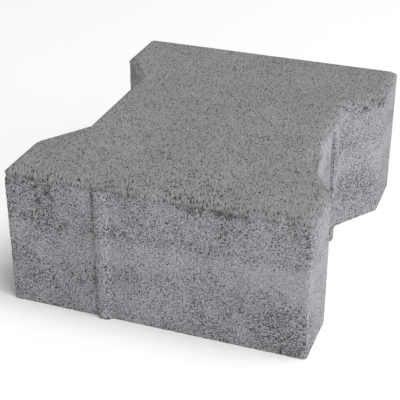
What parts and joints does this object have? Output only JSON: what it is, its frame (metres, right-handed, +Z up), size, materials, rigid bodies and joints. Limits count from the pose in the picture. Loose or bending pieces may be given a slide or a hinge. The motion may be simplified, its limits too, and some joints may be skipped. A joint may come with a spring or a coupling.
{
  "type": "interlocking concrete paving stone",
  "caption": "I-shaped interlocking paving stone in grey cast concrete: wide heads, a narrower waist, slanted shoulders, a chamfered wearing face and upright spacer ribs.",
  "frame": {"origin": "middle of the flat bed face, at ground level", "axes": "+X across the heads, +Y along the stone, +Z up through the chamfered wearing face"},
  "size_m": [0.165, 0.205, 0.08],
  "materials": {
    "concrete": "rough vibropressed grey concrete with fine open pores"
  },
  "bodies": {
    "root": {"paving_stone": "concrete"}
  },
  "joints": []
}
